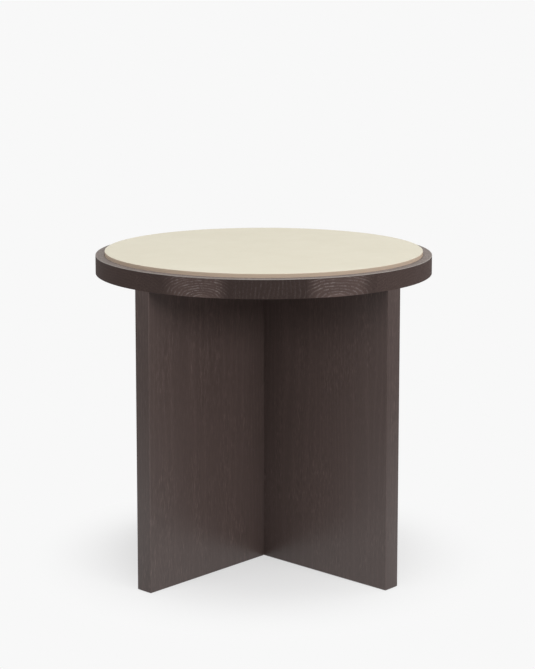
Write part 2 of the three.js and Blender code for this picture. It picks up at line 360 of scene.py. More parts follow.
def oak_grain(threads, strokes, ring, finish, board):
    """How light the grain is, round a mean of about 1: short strokes, dashes where the grain is open, long
    streaks, broad clouds and a faint tone of the rings."""
    seed = board["seed"]
    open_grain = threads(OAK_THREADS["open_grain"], 4 * seed).rising(*OAK_RISES["open_grain"])
    open_grain = OAK_SHARES["closed_grain"] + open_grain
    dashes = strokes.rising(*OAK_RISES["dashes"]) * open_grain
    streaks = threads(OAK_THREADS["streaks"], seed, 3.0)
    clouds = threads(OAK_THREADS["clouds"], seed)
    grain = 1 + (strokes - 0.5) * open_grain * finish.stroke_contrast + dashes * finish.dash_contrast
    grain = grain + (streaks - 0.5) * finish.streak_contrast + (clouds - 0.5) * finish.cloud_contrast
    return grain + (ring - OAK_SHARES["mean_ring"]) * board["ring_tone"]


def stained_oak(name, finish, board):
    """Dark stained oak with growth rings and open pores, as one solid figure, so that the end grain and the
    long grain match. In the board's own frame X runs across it, Y through it and Z along the grain."""
    oak = Finish(name)
    place = oak.placed(board["turn"], board["shift"])

    def threads(size, start, detail=2.0):
        """Noise in threads of a thickness and a length, drawn out along the grain."""
        thick, long = size
        scale = (1 / thick, 1 / thick, 1 / long)
        shift = (start, 2 * start, 3 * start)
        return oak.noise(oak.placed(scale=scale, shift=shift, vector=place), detail, THREAD_ROUGHNESS)

    # Patterns
    radius, ring, nearness = growth_rings(oak, place, threads, finish, board)
    strokes = threads((finish.stroke_width, finish.stroke_length), board["seed"])
    grain = oak_grain(threads, strokes, ring, finish, board)
    pores = 1 - oak.cells(oak.placed(scale=OAK_PORES, vector=place)).rising(*OAK_RISES["pores"])
    light_lines = ring_lines(threads, radius, ring, nearness, board) * board["ring_contrast"]
    light_pores = pores * ring.lifted(OAK_SHARES["least_pore"]) * finish.pore_contrast

    # Kinds of face
    up = oak.facing_up()
    upward_face = up.rising(*OAK_RISES["upward_face"])
    top_arris_painted_highlight = up.rising(*OAK_RISES["top_arris_painted_highlight"]) - upward_face
    end_face = oak.cut_across(board["grain"]).rising(*OAK_RISES["end_face"])
    across_face = oak.cut_across(board["edge"])
    edge_face = across_face.rising(*OAK_RISES["edge_face"])
    edge_arris_painted_highlight = across_face.rising(*OAK_RISES["edge_arris_painted_highlight"]) - edge_face

    glow = (nearness + 1 - radius.rising(*OAK_RISES["pith"])) * board["glow"]
    tone = (grain + glow) * (1 - end_face * finish.end_darkening) * board["tone"]
    # Painted shade: the panels' upright end faces are darkened for the shade that falls on them
    dark = oak.scaled(finish.oak_dark, tone * (1 - edge_face * board["edge_painted_shade"]))
    colour = oak.mixed((light_lines + light_pores).at_most(1.0), dark, rgba(finish.oak_light))
    # Painted sheen: faces that look up, the top of the ring, take a lighter colour that stands in for the
    # ring's grazing reflection
    colour = oak.mixed(upward_face, colour, oak.scaled(finish.ring_painted_sheen, grain))
    # Painted highlight: the top's eased upper edge takes a light colour in place of the light that it catches
    colour = oak.mixed(top_arris_painted_highlight * board["top_arris_painted_highlight"], colour, rgba(finish.ring_arris_painted_highlight))
    # Painted highlight: the panels' eased upright edges take the light line colour in place of the light that
    # they catch
    colour = oak.mixed(edge_arris_painted_highlight * board["edge_arris_painted_highlight"], colour, rgba(finish.oak_light))

    # The coat on the upright faces grows toward the foot
    foot = 1 - oak.split(place)[2].rising(*OAK_RISES["above_foot"])
    side_coat = board["side_coat"] + foot * board["foot_coat"]
    side_coat = side_coat * (1 - edge_face * OAK_SHARES["lost_edge_coat"])
    rough_strokes = OAK_SHARES["stroke_roughness"] * (strokes - 0.5)
    rough_pores = OAK_SHARES["pore_roughness"] * pores
    height = strokes * OAK_SHARES["stroke_height"] + ring * OAK_SHARES["ring_height"] - pores
    return oak.close({
        "Base Color": colour,
        "Roughness": finish.oak_roughness + rough_strokes + rough_pores,
        "IOR": board["ior"],
        "Coat Weight": upward_face * board["top_coat"] + (1 - upward_face) * side_coat,
        "Coat Roughness": board["coat_roughness"],
        "Coat IOR": finish.coat_ior,
        "Normal": oak.bump(height, finish.pore_depth, OAK_SHARES["bump"]),
    })


# The other finishes: grains to the metre along X, Y and Z, second colours, least roughness with what the
# pattern adds to it, and depth and strength of the relief
CREAM = {
    "clouds": (7, 7, 7),
    "mottle": (38, 38, 38),
    "skin": (1400, 1400, 1400),
    "upward_face": (0.35, 0.75),
    "mottle_roughness": 0.1,
    "mottle_height": 0.5,
    "relief": (0.02 * MM, 0.35),
}
BEECH = {
    "flecks": (900, 900, 260),
    "fleck_rise": (0.1, 0.3),
    "grain": (700, 700, 30),
    "fleck_share": 0.55,
    "grain_share": 0.7,
    "least_share": 0.2,
    "fleck_colour": (0.33, 0.17, 0.07),
    "roughness": (0.62, 0.12),
    "relief": (0.06 * MM, 0.6),
}
POWDER = {
    "pebble": (900, 900, 900),
    "patches": (60, 60, 60),
    "high_colour": (0.045, 0.045, 0.048),
    "roughness": (0.42, 0.2),
    "relief": (0.09 * MM, 0.7),
}
ZINC = {
    "spangle": (420, 420, 420),
    "tint": (110, 110, 110),
    "tint_rise": (0.35, 0.65),
    "straw_colour": (0.47, 0.45, 0.38),
    "dull_colour": (0.3, 0.31, 0.33),
    "dull_share": 0.35,
    "roughness": (0.26, 0.22),
    "relief": (0.02 * MM, 0.4),
}
NYLON = {
    "grain": (1500, 1500, 1500),
    "scuffs": (900, 120, 120),
    "scuff_rise": (0.55, 0.75),
    "scuff_colour": (0.07, 0.065, 0.06),
    "scuff_share": 0.4,
    "roughness": (0.5, 0.2),
    "relief": (0.05 * MM, 0.5),
}


def rough_skin(look, pattern):
    """The least roughness of a finish, and what its pattern adds to it."""
    least, more = look["roughness"]
    return least + more * pattern


def cream_lacquer(finish):
    """Satin cream lacquer: faint large clouds and the fine skin of a sprayed coat."""
    cream = Finish("cream_lacquer")
    clouds = cream.grained(CREAM["clouds"], 3.0, 0.6)
    mottle = cream.grained(CREAM["mottle"], 4.0, 0.6)
    skin = cream.grained(CREAM["skin"])
    share = (clouds - 0.5) * finish.cream_clouds + (mottle - 0.5) * finish.cream_mottle + 0.5
    face = cream.mixed(share, rgba(finish.cream_light), rgba(finish.cream_deep))
    upward_face = cream.facing_up().rising(*CREAM["upward_face"])
    return cream.close({
        # The disc's upright edge takes a tanner tone of its own, darkened further as painted shade
        "Base Color": cream.mixed(upward_face, rgba(finish.cream_edge_tone_and_shade), face),
        "Roughness": finish.cream_roughness + CREAM["mottle_roughness"] * (mottle - 0.5),
        "IOR": finish.cream_ior,
        "Normal": cream.bump(skin + mottle * CREAM["mottle_height"], *CREAM["relief"]),
    })


def raw_beech(finish):
    """Raw turned beech: short dark flecks along the grain and soft growth rings."""
    beech = Finish("raw_beech")
    flecks = 1 - beech.cells(beech.placed(scale=BEECH["flecks"])).rising(*BEECH["fleck_rise"])
    grain = beech.grained(BEECH["grain"], 3.0)
    share = flecks * BEECH["fleck_share"] + (grain - 0.5) * BEECH["grain_share"] + BEECH["least_share"]
    share = share.at_least(0.0).at_most(1.0)
    return beech.close({
        "Base Color": beech.mixed(share, rgba(finish.beech), rgba(BEECH["fleck_colour"])),
        "Roughness": rough_skin(BEECH, grain),
        "Normal": beech.bump(grain - flecks, *BEECH["relief"]),
    })


def powder_coat(finish):
    """Black powder coat: a fine pebbled skin with duller and glossier patches."""
    coat = Finish("powder_coat")
    pebble = coat.grained(POWDER["pebble"], 3.0)
    patches = coat.grained(POWDER["patches"])
    return coat.close({
        "Base Color": coat.mixed(pebble, rgba(finish.black), rgba(POWDER["high_colour"])),
        "Roughness": rough_skin(POWDER, patches),
        "Normal": coat.bump(pebble, *POWDER["relief"]),
    })


def zinc_plate(finish):
    """Bright zinc plating with a faint bluish and straw passivation."""
    zinc = Finish("zinc_plate")
    spangle = zinc.grained(ZINC["spangle"], 3.0)
    tint = zinc.grained(ZINC["tint"], 1.0).rising(*ZINC["tint_rise"])
    bright = zinc.mixed(tint, rgba(finish.zinc), rgba(ZINC["straw_colour"]))
    return zinc.close({
        "Base Color": zinc.mixed(spangle * ZINC["dull_share"], bright, rgba(ZINC["dull_colour"])),
        "Metallic": 1.0,
        "Roughness": rough_skin(ZINC, spangle),
        "Normal": zinc.bump(spangle, *ZINC["relief"]),
    })


def moulded_nylon(finish):
    """Dark moulded nylon with a fine eroded texture and scuffs."""
    nylon = Finish("moulded_nylon")
    grain = nylon.grained(NYLON["grain"])
    scuffs = nylon.grained(NYLON["scuffs"], 3.0).rising(*NYLON["scuff_rise"])
    share = scuffs * NYLON["scuff_share"]
    return nylon.close({
        "Base Color": nylon.mixed(share, rgba(finish.nylon), rgba(NYLON["scuff_colour"])),
        "Roughness": rough_skin(NYLON, scuffs),
        "Normal": nylon.bump(grain, *NYLON["relief"]),
    })


# Mesh helpers

def section(points):
    """An open outline of (radius, height) pairs in the XZ plane, ready to be turned."""
    bm = bmesh.new()
    verts = [bm.verts.new((radius, 0, height)) for radius, height in points]
    for first, second in zip(verts, verts[1:]):
        bm.edges.new((first, second))
    return bm


def turned(points, steps):
    """A section turned fully round the upright axis, with its open ends filled flat."""
    bm = section(points)
    bmesh.ops.spin(
        bm, geom=bm.verts[:] + bm.edges[:], cent=(0, 0, 0), axis=(0, 0, 1), dvec=(0, 0, 0),
        angle=FULL_TURN, steps=steps, use_merge=True, use_duplicate=False,
    )
    bmesh.ops.remove_doubles(bm, verts=bm.verts, dist=MERGE_DISTANCE)
    bmesh.ops.holes_fill(bm, edges=[edge for edge in bm.edges if edge.is_boundary], sides=0)
    bmesh.ops.recalc_face_normals(bm, faces=bm.faces)
    return bm


def rod(radius, low, high, steps=32):
    return turned([(radius, low), (radius, high)], steps)


def block(low, high):
    """A box between two corners."""
    bm = bmesh.new()
    size = [high[axis] - low[axis] for axis in range(3)]
    middle = [(high[axis] + low[axis]) / 2 for axis in range(3)]
    bmesh.ops.create_cube(bm, size=1.0)
    bmesh.ops.scale(bm, vec=size, verts=bm.verts)
    bmesh.ops.translate(bm, vec=middle, verts=bm.verts)
    return bm


def moved(bm, matrix):
    bmesh.ops.transform(bm, matrix=matrix, verts=bm.verts)
    return bm


def raise_faces(bm, way):
    """Draws flat faces out into a closed solid."""
    drawn = bmesh.ops.extrude_face_region(bm, geom=bm.faces[:])
    far = [item for item in drawn["geom"] if isinstance(item, bmesh.types.BMVert)]
    bmesh.ops.translate(bm, vec=way, verts=far)
    bmesh.ops.recalc_face_normals(bm, faces=bm.faces)


def joined(*parts):
    """Several bmeshes as one. The parts are freed."""
    whole = bmesh.new()
    for part in parts:
        mesh = bpy.data.meshes.new("part")
        part.to_mesh(mesh)
        part.free()
        whole.from_mesh(mesh)
        bpy.data.meshes.remove(mesh)
    return whole


def ease(bm, edges, radius, steps=4):
    """Rounds edges over."""
    bmesh.ops.bevel(
        bm, geom=list(edges), offset=radius, offset_type="OFFSET", affect="EDGES", segments=steps,
        profile=0.5, material=-1, clamp_overlap=True,
    )


def creases(bm):
    """The edges where two faces meet at a clear angle."""
    return [edge for edge in bm.edges if edge.is_manifold and edge.calc_face_angle() > CREASE_ANGLE]


def both_ends(edge, test):
    return all(test(vertex.co) for vertex in edge.verts)


def keep_between(bm, low, high):
    """Cuts a solid across X at two planes and closes the cuts. A plane given as None isn't cut."""
    for place, side in ((low, -1), (high, 1)):
        if place is None:
            continue
        cut = bmesh.ops.bisect_plane(
            bm, geom=bm.verts[:] + bm.edges[:] + bm.faces[:], dist=MERGE_DISTANCE,
            plane_co=(place, 0, 0), plane_no=(side, 0, 0), clear_outer=True,
        )
        edges = [item for item in cut["geom_cut"] if isinstance(item, bmesh.types.BMEdge)]
        bmesh.ops.edgeloop_fill(bm, edges=edges)
    bmesh.ops.recalc_face_normals(bm, faces=bm.faces)


def board_limits(number, seam):
    """Where a board starts and ends across the grain. An outer end is None, because nothing is cut there."""
    left = -RIM_RADIUS + number * BOARD_WIDTH
    low = None if number == 0 else left + seam / 2
    high = None if number == BOARD_COUNT - 1 else left + BOARD_WIDTH - seam / 2
    return low, high


def link_mesh(name, bm):
    """An object from a bmesh, which is freed."""
    mesh = bpy.data.meshes.new(name)
    bm.to_mesh(mesh)
    bm.free()
    thing = bpy.data.objects.new(name, mesh)
    bpy.context.scene.collection.objects.link(thing)
    return thing


def carve(bm, tool):
    """Takes a tool's closed shells out of a solid by an exact boolean. Both bmeshes are freed."""
    body = link_mesh("carved_body", bm)
    cutter = link_mesh("carving_tool", tool)
    cut = body.modifiers.new("Cut", "BOOLEAN")
    cut.operation = "DIFFERENCE"
    cut.solver = "EXACT"
    cut.object = cutter
    evaluated = body.evaluated_get(bpy.context.evaluated_depsgraph_get())
    mesh = bpy.data.meshes.new_from_object(evaluated)
    result = bmesh.new()
    result.from_mesh(mesh)
    for thing in (body, cutter):
        spent = thing.data
        bpy.data.objects.remove(thing)
        bpy.data.meshes.remove(spent)
    bpy.data.meshes.remove(mesh)
    return result


def add_piece(name, bm, material, node):
    """Makes a finished piece from a bmesh in the place of a CAD node."""
    bmesh.ops.remove_doubles(bm, verts=bm.verts, dist=MERGE_DISTANCE)
    bmesh.ops.recalc_face_normals(bm, faces=bm.faces)
    if any(not edge.is_manifold for edge in bm.edges):
        raise RuntimeError(f"{name} isn't closed")
    piece = link_mesh(name, bm)
    piece.data.shade_smooth()
    piece.data.set_sharp_from_angle(angle=SHARP_ANGLE)
    piece.data.materials.append(material)
    weighted = piece.modifiers.new("Weighted Normal", "WEIGHTED_NORMAL")
    weighted.keep_sharp = True
    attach(piece, BODY)
    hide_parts(node)
    return piece


# Fixings, measured once on the first arm. Its frame has +X out along the arm.

DOWEL = extent("dowel_1", ARM_TURN)
GLIDE = extent("glide_1", ARM_TURN)
BRACKET = extent("angle_bracket_1", ARM_TURN)
TOP_SCREWS = [extent(f"bracket_1_top_screw_{number}", ARM_TURN) for number in (1, 2)]
SIDE_SCREWS = [extent(f"bracket_1_side_screw_{number}", ARM_TURN) for number in (1, 2)]
SCREW_LENGTH = TOP_SCREWS[0][1].z - TOP_SCREWS[0][0].z - SCREW_HEAD_HEIGHT


def centre(box):
    return (box[0] + box[1]) / 2


def arm_matrix(arm):
    return Matrix.Rotation(ARM_TURN + arm * QUARTER_TURN, 4, "Z")


def top_screw_place(box):
    """Where a screw that points up has the underside of its head."""
    middle = centre(box)
    return Matrix.Translation((middle.x, middle.y, box[0].z + SCREW_HEAD_HEIGHT))


def side_screw_place(box):
    """Where a screw that points into the panel has the underside of its head."""
    middle = centre(box)
    place = Matrix.Translation((middle.x, box[1].y - SCREW_HEAD_HEIGHT, middle.z))
    return place @ Matrix.Rotation(QUARTER_TURN, 4, "X")


def arm_tools(arm):
    """The drilling tools of one arm, in its place: dowel hole, glide seat with stem hole, and pilot holes."""
    dowel_middle = centre(DOWEL)
    glide_middle = centre(GLIDE)
    dowel_radius = DOWEL[1].y + DOWEL_CLEARANCE
    hole = rod(dowel_radius, DOWEL[0].z - HOLE_END_ROOM, DOWEL[1].z + HOLE_END_ROOM)
    moved(hole, Matrix.Translation((dowel_middle.x, 0, 0)))
    seat_radius = GLIDE[1].y + GLIDE_CLEARANCE
    stem_radius = GLIDE_STEM_RADIUS + GLIDE_CLEARANCE
    seat_top = GLIDE[0].z + GLIDE_THICKNESS + SEAT_GAP
    seat = turned([
        (seat_radius, GLIDE[0].z - OVERRUN),
        (seat_radius, seat_top),
        (stem_radius, seat_top),
        (stem_radius, GLIDE[1].z + HOLE_END_ROOM),
    ], steps=48)
    moved(seat, Matrix.Translation((glide_middle.x, 0, 0)))
    places = [top_screw_place(box) for box in TOP_SCREWS] + [side_screw_place(box) for box in SIDE_SCREWS]
    depth = SCREW_LENGTH + HOLE_END_ROOM
    pilots = [moved(rod(PILOT_RADIUS, 0, depth, steps=16), place) for place in places]
    return moved(joined(hole, seat, *pilots), arm_matrix(arm))


def all_tools():
    return joined(*[arm_tools(arm) for arm in range(ARM_COUNT)])


# Settings that a user would change

def colour_prop(name, description, default):
    return FloatVectorProperty(
        name=name, description=description, default=default, min=0, max=1, subtype="COLOR")


def share_prop(name, description, default):
    return FloatProperty(name=name, description=description, default=default, min=0, max=1, subtype="FACTOR")


def level_prop(name, description, default, least=0, most=12):
    return FloatProperty(name=name, description=description, default=default, min=least, max=most)


def lamp_prop(name, description, default):
    return FloatProperty(name=name, description=f"Brightness of the {description}", default=default, min=0)


def length_prop(name, description, default, least=0):
    return FloatProperty(
        name=name, description=description, default=default, min=least, precision=5, subtype="DISTANCE",
        unit="LENGTH")


class SideTableShape(bpy.types.PropertyGroup):
    """Edges, seams and smoothness."""
    rim_steps: IntProperty(
        name="Rim steps", description="Facets round the rim and the disc", default=512, min=64, max=2048)
    rim_arris: length_prop("Rim arris", "Radius of the eased outer edge of the top", 0.8 * MM)
    recess_arris: length_prop("Recess arris", "Radius of the eased edge round the disc", 0.3 * MM)
    disc_arris: length_prop("Disc arris", "Radius of the eased edge of the disc", 0.8 * MM)
    panel_arris: length_prop("Panel arris", "Radius of the eased edges of the panels", 0.9 * MM)
    seam: length_prop("Seam", "Width of the glue line between two boards", 0.02 * MM)


class SideTableFinish(bpy.types.PropertyGroup):
    """Colours and surface values."""
    oak_dark: colour_prop("Oak", "Ground colour of the stained oak", (0.072, 0.0503, 0.0453))
    # The same light colour is also the painted highlight on the panels' eased edges
    oak_light: colour_prop("Oak lines", "Colour of the ring lines and light pores", (0.19, 0.158, 0.15))
    # Painted sheen: this lighter colour on top of the ring stands in for its grazing reflection
    ring_painted_sheen: colour_prop("Ring haze", "Tone of the satin haze on top of the ring", (0.2, 0.168, 0.153))
    # Painted highlight on the top's eased upper edge
    ring_arris_painted_highlight: colour_prop("Ring arris", "Colour of the top's rubbed upper edge", (0.42, 0.39, 0.37))
    rim_tone: share_prop("Rim tone", "Brightness of the top's stain against the panels'", 0.625)
    oak_roughness: share_prop("Oak roughness", "Roughness of the stained oak", 0.7)
    top_ior: level_prop("Top gloss", "Refractive index of the top's oak", 1.12, 1, 2)
    panel_ior: level_prop("Panel gloss", "Refractive index of the oak under the panels' coat", 1.06, 1, 2)
    ring_coat: share_prop("Ring coat", "Weight of the clear coat on top of the ring", 0.15)
    ring_coat_roughness: share_prop("Ring coat roughness", "Roughness of the coat on top of the ring", 0.35)
    panel_coat: share_prop("Panel coat", "Weight of the panels' satin coat at their upper end", 0.39)
    panel_foot_coat: share_prop("Panel foot coat", "Weight of the panels' satin coat near the floor", 1.0)
    panel_coat_roughness: share_prop("Panel coat roughness", "Roughness of the panels' satin coat", 0.32)
    coat_ior: level_prop("Coat gloss", "Refractive index of both coats", 1.5, 1, 2)
    # Painted highlight on the panels' eased edges
    panel_arris_painted_highlight: share_prop("Panel arris", "How far the panels' eased edges are rubbed lighter", 0.1)
    # Painted shade on the panels' upright end faces
    panel_edge_painted_shade: share_prop("Panel edges", "How much darker the panels' upright edges are", 0.12)
    end_darkening: share_prop("End grain", "How much darker the end grain takes the stain", 0.3)
    ring_sharpness: level_prop("Ring sharpness", "How thin the ring lines are", 3.6, 1)
    ring_ripple: length_prop("Ring ripple", "How far the ring lines waver", 4.2 * MM)
    stroke_width: length_prop("Stroke width", "Width of the short grain strokes", 1.3 * MM, 0.1 * MM)
    stroke_length: length_prop("Stroke length", "Length of the short grain strokes", 13 * MM, 1 * MM)
    stroke_contrast: level_prop("Strokes", "Contrast of the short grain strokes", 0.6)
    dash_contrast: level_prop("Dashes", "Contrast of the light dashes in the open grain", 0.38)
    pore_contrast: share_prop("Pores", "How far the pores stand out", 0.16)
    streak_contrast: level_prop("Streaks", "Contrast of the long streaks", 0.18)
    cloud_contrast: level_prop("Clouds", "Contrast of the broad tone changes", 0.12)
    pore_depth: length_prop("Pore depth", "Depth of the open pores", 0.08 * MM)
    cream_light: colour_prop("Cream", "Lighter tone of the cream lacquer", (0.714, 0.677, 0.561))
    cream_deep: colour_prop("Deep cream", "Deeper tone of the cream lacquer", (0.653, 0.609, 0.49))
    # A tan tone of the disc's edge, partly its own colour and partly painted shade
    cream_edge_tone_and_shade: colour_prop("Cream edge", "Tone of the disc's edge", (0.5, 0.395, 0.305))
    cream_roughness: share_prop("Cream roughness", "Roughness of the cream lacquer", 0.62)
    cream_ior: level_prop("Cream gloss", "Refractive index of the cream lacquer", 1.2, 1, 2)
    cream_clouds: level_prop("Cream clouds", "Contrast of the broad clouds", 0.9)
    cream_mottle: level_prop("Cream mottle", "Contrast of the fine mottle", 0.5)
    beech: colour_prop("Beech", "Ground colour of the dowels", (0.57, 0.35, 0.16))
    black: colour_prop("Powder coat", "Colour of the brackets", (0.024, 0.024, 0.026))
    zinc: colour_prop("Zinc", "Colour of the screws", (0.42, 0.43, 0.44))
    nylon: colour_prop("Nylon", "Colour of the glides", (0.023, 0.019, 0.018))


class SideTableStudio(bpy.types.PropertyGroup):
    """Floor, light and camera."""
    background: share_prop("Background", "Brightness of the floor and backdrop", 0.939)
    floor_tone: share_prop("Floor tone", "Brightness of the floor's paint where its shadow shows", 0.8)
    shadow_lift: share_prop("Shadow lift", "How far the floor's shadow is lightened", 0.55)
    dome: lamp_prop("Dome", "studio dome", 0.15)
    key: lamp_prop("Key", "key softbox at the right", 12.5)
    key_side: lamp_prop("Key side", "softbox beside the key", 3.1)
    fill: lamp_prop("Fill", "softbox at the left", 7.1)
    front: lamp_prop("Front", "softbox above the camera", 2.0)
    top_front: lamp_prop("Top front", "softbox overhead in front", 3.1)
    top_back: lamp_prop("Top back", "softbox overhead behind", 2.55)
    back_left: lamp_prop("Back left", "softbox behind at the left", 2.0)
    back_right: lamp_prop("Back right", "softbox behind at the right", 2.0)
    lens: FloatProperty(name="Lens", description="Focal length", default=95.312, min=1, unit="CAMERA")


# Boards of the top and the panels

FIGURE_SEED = 1827

# Where a panel board's pith may lie, in millimetres across the board and before or behind it, and where the
# noise of the panel boards and of the top boards starts
PITH_ACROSS = (-30, 30)
PITH_DEPTH = (25, 60)
PANEL_NOISE_START = (5, 40)
TOP_NOISE_STEP = 1.7

PLAIN_RINGS = {
    "steepness": (0.75, 0.75),
    "ring_spacing": 4.6 * MM,
    "ring_reach": (70 * MM, 70 * MM),
    "ring_start": 0,
    "wander": 14 * MM,
    "ring_contrast": 0,
    "ring_tone": 0.12,
    "glow": 0,
}
DOMED_RINGS = {
    "ring_start": 5 * MM,
    "wander": 6 * MM,
    "ring_contrast": 1.3,
    "ring_tone": 0.1,
    "glow": 0.85,
}
UPRIGHT_RINGS = {
    "steepness": (1.0, 1.0),
    "ring_spacing": 6.5 * MM,
    "ring_reach": (1, 1),
    "ring_start": 0,
    "wander": 16 * MM,
    "ring_contrast": 0.2,
    "ring_tone": 0.05,
    "glow": 0,
}
TOP_RINGS = (
    {**PLAIN_RINGS, "tone": 1.18, "pith": (-30 * MM, 95 * MM)},
    {
        **DOMED_RINGS,
        "tone": 1.15,
        "pith": (8 * MM, 19 * MM),
        "steepness": (0.62, 0.55),
        "ring_spacing": 3.5 * MM,
        "ring_reach": (62 * MM, 40 * MM),
    },
    {**UPRIGHT_RINGS, "tone": 1.15, "pith": (-120 * MM, 2 * MM)},
    {
        **DOMED_RINGS,
        "tone": 1.2,
        "pith": (-8 * MM, 17 * MM),
        "steepness": (0.46, 0.5),
        "ring_spacing": 4.3 * MM,
        "ring_reach": (52 * MM, 56 * MM),
    },
    {**PLAIN_RINGS, "tone": 1.3, "pith": (40 * MM, 90 * MM)},
)


def board_middle(number):
    return (number - (BOARD_COUNT - 1) / 2) * BOARD_WIDTH


def top_figure(number, finish):
    """The figure and coat of a top board. Its grain runs front to back."""
    return {
        **TOP_RINGS[number],
        "turn": (QUARTER_TURN, 0, 0),
        "grain": (0, 1, 0),
        "edge": (1, 0, 0),
        "edge_painted_shade": 0,
        "tone": finish.rim_tone * TOP_RINGS[number]["tone"],
        "ior": finish.top_ior,
        "top_coat": finish.ring_coat,
        "top_arris_painted_highlight": 1,
        "side_coat": 0,
        "foot_coat": 0,
        "coat_roughness": finish.ring_coat_roughness,
        "edge_arris_painted_highlight": 0,
        "shift": (-board_middle(number), TOP_MIDDLE, 0),
        "seed": TOP_NOISE_STEP * (number + 1),
    }


def panel_figure(turn, number, finish, draw):
    """The figure and coat of a panel board. Its grain runs upright."""
    side = draw.choice((-1, 1))
    return {
        **PLAIN_RINGS,
        "turn": (0, 0, -turn),
        "grain": (0, 0, 1),
        "edge": (math.cos(turn), math.sin(turn), 0),
        "edge_painted_shade": finish.panel_edge_painted_shade,
        "tone": 1,
        "ior": finish.panel_ior,
        "top_coat": 0,
        "top_arris_painted_highlight": 0,
        "side_coat": finish.panel_coat,
        "foot_coat": finish.panel_foot_coat - finish.panel_coat,
        "coat_roughness": finish.panel_coat_roughness,
        "edge_arris_painted_highlight": finish.panel_arris_painted_highlight,
        "shift": (-board_middle(number), 0, 0),
        "pith": (draw.uniform(*PITH_ACROSS) * MM, side * draw.uniform(*PITH_DEPTH) * MM),
        "seed": draw.uniform(*PANEL_NOISE_START),
    }


class SIDETABLE_OT_glue_up_top(bpy.types.Operator):
    """Makes the five boards of the round top, recessed for the disc"""
    bl_idname = "sidetable.glue_up_top"
    bl_label = "Glue up the top"

    def execute(self, context):
        shape = context.scene.side_table_shape
        finish = context.scene.side_table_finish
        whole = turned([
            (RECESS_RADIUS, RECESS_FLOOR),
            (RECESS_RADIUS, TOP_HIGH),
            (RIM_RADIUS, TOP_HIGH),
            (RIM_RADIUS, TOP_LOW),
        ], shape.rim_steps)

        def on_rim(point, radius):
            return abs(point.xy.length - radius) < SAME_PLACE and abs(point.z - TOP_HIGH) < SAME_PLACE

        for radius, arris in ((RIM_RADIUS, shape.rim_arris), (RECESS_RADIUS, shape.recess_arris)):
            edges = [edge for edge in creases(whole) if both_ends(edge, lambda point: on_rim(point, radius))]
            ease(whole, edges, arris)
        for number in range(BOARD_COUNT):
            board = whole.copy()
            keep_between(board, *board_limits(number, shape.seam))
            board = carve(board, all_tools())
            material = stained_oak(f"stained_oak_top_{number + 1}", finish, top_figure(number, finish))
            name = f"top_board_{number + 1}"
            add_piece(f"oak_{name}", board, material, name)
        whole.free()
        return {"FINISHED"}


class SIDETABLE_OT_bed_disc(bpy.types.Operator):
    """Makes the cream disc in the recess of the top"""
    bl_idname = "sidetable.bed_disc"
    bl_label = "Bed the disc"

    def execute(self, context):
        shape = context.scene.side_table_shape
        low, high = DISC[0].z, DISC[1].z
        disc = turned([(DISC_RADIUS, low), (DISC_RADIUS, high)], shape.rim_steps)
        edges = [edge for edge in creases(disc) if both_ends(edge, lambda point: point.z > high - MM)]
        ease(disc, edges, shape.disc_arris)
        material = cream_lacquer(context.scene.side_table_finish)
        add_piece("cream_disc", disc, material, "inset_disc")
        return {"FINISHED"}


def panel_blank(shape):
    """A panel along X before it is parted: its ends follow the rim, its open edges are eased."""
    bm = bmesh.new()
    bmesh.ops.create_circle(bm, cap_ends=True, segments=shape.rim_steps, radius=RIM_RADIUS)
    for side in (-1, 1):
        bmesh.ops.bisect_plane(
            bm, geom=bm.verts[:] + bm.edges[:] + bm.faces[:], dist=MERGE_DISTANCE,
            plane_co=(0, side * HALF_PANEL, 0), plane_no=(0, side, 0), clear_outer=True,
        )
    bmesh.ops.translate(bm, vec=(0, 0, PANEL_LOW), verts=bm.verts)
    raise_faces(bm, (0, 0, PANEL_HIGH - PANEL_LOW))

    def under_top(edge):
        return both_ends(edge, lambda point: point.z > PANEL_HIGH - MM)

    ease(bm, [edge for edge in creases(bm) if not under_top(edge)], shape.panel_arris)
    return bm


def halving_tool(opens_up):
    """The slot of the halving joint, flared at its mouth."""
    half = HALF_PANEL + HALVING_CLEARANCE
    mouth = PANEL_LOW - HALVING_HEIGHT
    outline = [
        (half, HALVING_CLEARANCE / 2),
        (half, mouth + HALVING_LEAD_IN),
        (half + HALVING_LEAD_IN, mouth),
        (half + HALVING_LEAD_IN, mouth - OVERRUN),
    ]
    outline += [(-x, z) for x, z in reversed(outline)]
    reach = HALF_PANEL + OVERRUN
    tool = bmesh.new()
    tool.faces.new([tool.verts.new((x, -reach, z)) for x, z in outline])
    raise_faces(tool, (0, 2 * reach, 0))
    if opens_up:
        moved(tool, Matrix.Rotation(math.pi, 4, "X"))
    return moved(tool, Matrix.Translation((0, 0, HALVING_HEIGHT)))


class SIDETABLE_OT_cross_panels(bpy.types.Operator):
    """Makes the ten boards of the two crossed panels, slotted into each other"""
    bl_idname = "sidetable.cross_panels"
    bl_label = "Cross the panels"

    def execute(self, context):
        shape = context.scene.side_table_shape
        finish = context.scene.side_table_finish
        draw = random.Random(FIGURE_SEED)
        for letter, turn in PANEL_TURNS.items():
            blank = panel_blank(shape)
            for number in range(BOARD_COUNT):
                board = blank.copy()
                keep_between(board, *board_limits(number, shape.seam))
                if number == BOARD_COUNT // 2:
                    board = carve(board, halving_tool(letter == "b"))
                moved(board, Matrix.Rotation(turn, 4, "Z"))
                board = carve(board, all_tools())
                name = f"panel_{letter}_board_{number + 1}"
                figure = panel_figure(turn, number, finish, draw)
                material = stained_oak(f"stained_oak_{name}", finish, figure)
                add_piece(f"oak_{name}", board, material, name)
            blank.free()
        return {"FINISHED"}


# Fixings

